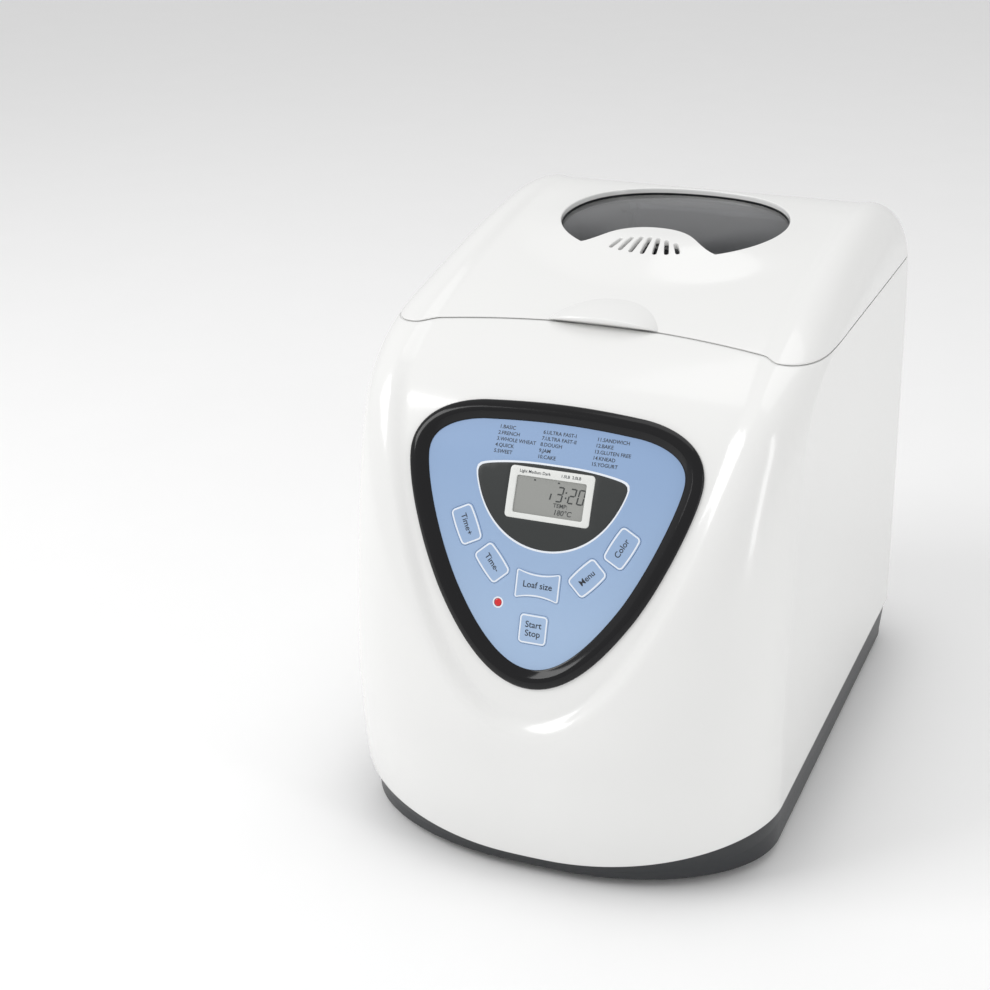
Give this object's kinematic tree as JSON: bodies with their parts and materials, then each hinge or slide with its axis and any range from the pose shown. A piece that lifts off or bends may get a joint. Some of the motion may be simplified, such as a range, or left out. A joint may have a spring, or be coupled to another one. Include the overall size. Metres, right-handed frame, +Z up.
{
  "type": "bread machine",
  "caption": "Upright bread machine with a curved white casing, hinged windowed lid, triangular control panel, lift-out pan and belt-driven kneading paddle.",
  "frame": {"origin": "middle of the bounding box's underside, where the feet rest", "axes": "+Z up, the control panel faces -Y, +X to the machine's own left as seen from behind, so to the right of someone facing the panel"},
  "size_m": [0.236, 0.3461, 0.295],
  "materials": {
    "white_plastic": "gloss",
    "deck_plastic": "satin",
    "black_plastic": "satin",
    "bezel_black": "high gloss",
    "panel_blue": "satin film",
    "key_blue": "satin film",
    "lens_charcoal": "satin film",
    "frame_offwhite": "satin",
    "screen_grey": "clear over grey",
    "light_red": "translucent",
    "window_glass": "smoked, clear",
    "rubber": "matt",
    "steel_sheet": "aluminised, satin",
    "steel_bar": "turned",
    "liner_aluminium": "brushed",
    "pan_coating": "non-stick coated",
    "heater_sheath": "oxidised",
    "brass": "satin",
    "board": "solder resist",
    "motor_steel": "satin",
    "ceramic": "matt"
  },
  "bodies": {
    "housing": {"body_shell": "white_plastic", "top_deck": "deck_plastic", "base_tray": "black_plastic", "foot_front_left": "rubber", "foot_front_right": "rubber", "foot_back_left": "rubber", "foot_back_right": "rubber", "cord_gland": "black_plastic", "control_bezel": "bezel_black", "panel_fascia": "panel_blue", "display_lens": "lens_charcoal", "display_frame": "frame_offwhite", "display_screen": "screen_grey", "indicator_light": "light_red", "control_board": "board", "display_module": "steel_sheet", "hinge_bracket_left": "steel_sheet", "hinge_bracket_right": "steel_sheet", "hinge_pin_left": "steel_bar", "hinge_pin_right": "steel_bar", "baking_chamber": "steel_sheet", "temperature_sensor": "brass", "thermal_fuse": "ceramic", "heating_element": "heater_sheath", "chassis_plate": "steel_sheet", "post_front_left": "black_plastic", "post_front_right": "black_plastic", "post_back_left": "black_plastic", "post_back_right": "black_plastic", "drive_bearing": "brass", "drive_belt": "rubber", "motor": "motor_steel", "power_board": "board", "transformer": "motor_steel"},
    "lid": {"lid_shell": "white_plastic", "window_glass": "window_glass", "lid_liner": "liner_aluminium", "lid_hinge_left": "steel_sheet", "lid_hinge_right": "steel_sheet"},
    "pan": {"bread_pan": "pan_coating", "pan_foot": "liner_aluminium", "pan_bearing": "brass", "rivet_left": "steel_bar", "rivet_right": "steel_bar"},
    "bail": {"pan_handle": "steel_bar"},
    "kneader": {"paddle_shaft": "steel_bar", "pan_coupling": "steel_bar", "kneading_paddle": "pan_coating"},
    "drive": {"drive_shaft": "steel_bar", "drive_coupling": "steel_bar", "large_pulley": "black_plastic"},
    "rotor": {"motor_shaft": "steel_bar", "motor_pulley": "liner_aluminium"},
    "key_time_up_cap": {"key_time_up": "key_blue"},
    "key_time_down_cap": {"key_time_down": "key_blue"},
    "key_size_cap": {"key_size": "key_blue"},
    "key_menu_cap": {"key_menu": "key_blue"},
    "key_crust_cap": {"key_crust": "key_blue"},
    "key_start_cap": {"key_start": "key_blue"}
  },
  "joints": [
    {"name": "lid_hinge", "type": "hinge", "parent": "housing", "child": "lid", "pos_m": [0, 0.1516, 0.27189], "axis": [-1, 0, 0], "range_deg": [0, 78]},
    {"name": "pan_lift", "type": "slide", "parent": "housing", "child": "pan", "axis": [0, 0, 1], "range_m": [0, 0.018]},
    {"name": "bail_swing", "type": "hinge", "parent": "pan", "child": "bail", "pos_m": [0, 0.056, 0.198], "axis": [1, 0, 0], "range_deg": [0, 180]},
    {"name": "paddle_spin", "type": "hinge", "parent": "pan", "child": "kneader", "pos_m": [0, 0.056, 0.08], "axis": [0, 0, 1], "continuous": true},
    {"name": "drive_spin", "type": "hinge", "parent": "housing", "child": "drive", "pos_m": [0, 0.056, 0.03], "axis": [0, 0, 1], "continuous": true},
    {"name": "motor_spin", "type": "hinge", "parent": "housing", "child": "rotor", "pos_m": [0, -0.085, 0.03], "axis": [0, 0, 1], "continuous": true},
    {"name": "press_time_up", "type": "slide", "parent": "housing", "child": "key_time_up_cap", "axis": [0, 0.9272, -0.3746], "range_m": [0, 0.0008], "stiffness_N_per_m": 300},
    {"name": "press_time_down", "type": "slide", "parent": "housing", "child": "key_time_down_cap", "axis": [0, 0.9272, -0.3746], "range_m": [0, 0.0008], "stiffness_N_per_m": 300},
    {"name": "press_size", "type": "slide", "parent": "housing", "child": "key_size_cap", "axis": [0, 0.9272, -0.3746], "range_m": [0, 0.0008], "stiffness_N_per_m": 300},
    {"name": "press_menu", "type": "slide", "parent": "housing", "child": "key_menu_cap", "axis": [0, 0.9272, -0.3746], "range_m": [0, 0.0008], "stiffness_N_per_m": 300},
    {"name": "press_crust", "type": "slide", "parent": "housing", "child": "key_crust_cap", "axis": [0, 0.9272, -0.3746], "range_m": [0, 0.0008], "stiffness_N_per_m": 300},
    {"name": "press_start", "type": "slide", "parent": "housing", "child": "key_start_cap", "axis": [0, 0.9272, -0.3746], "range_m": [0, 0.0008], "stiffness_N_per_m": 300}
  ],
  "couplings": [
    {"joint": "paddle_spin", "follows": "drive_spin", "ratio": 1},
    {"joint": "motor_spin", "follows": "drive_spin", "ratio": 6.1111}
  ]
}
